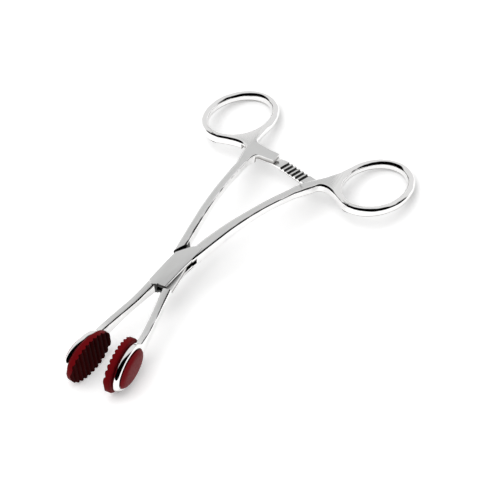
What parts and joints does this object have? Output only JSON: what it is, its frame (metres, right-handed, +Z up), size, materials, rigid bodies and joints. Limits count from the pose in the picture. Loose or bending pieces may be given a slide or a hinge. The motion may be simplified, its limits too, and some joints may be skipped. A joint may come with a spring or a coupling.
{
  "type": "tongue forceps",
  "caption": "Ring-handled gripping forceps: two steel arms cross in a box lock, ratchet bars join the handles, and upright oval jaws hold ribbed rubber inserts.",
  "frame": {"origin": "on the table the forceps lies on, at the middle of its outline", "axes": "+Y from the jaws towards the finger rings, +Z up from the table, +X towards the finger ring of the box arm"},
  "size_m": [0.0952, 0.17, 0.0206],
  "materials": {
    "polished_steel": "mirror-polished sides and rings, satin flat faces",
    "red_rubber": "smooth dark red rubber, slightly glossy"
  },
  "bodies": {
    "box_arm": {"box_arm": "polished_steel", "lock_pin": "polished_steel", "box_arm_insert": "red_rubber"},
    "tongue_arm": {"tongue_arm": "polished_steel", "tongue_arm_insert": "red_rubber"}
  },
  "joints": [
    {"name": "lock", "type": "hinge", "parent": "box_arm", "child": "tongue_arm", "pos_m": [0, -0.02179, 0.01523], "axis": [0, -0.1209, 0.9927], "range_deg": [-11, 38]}
  ]
}
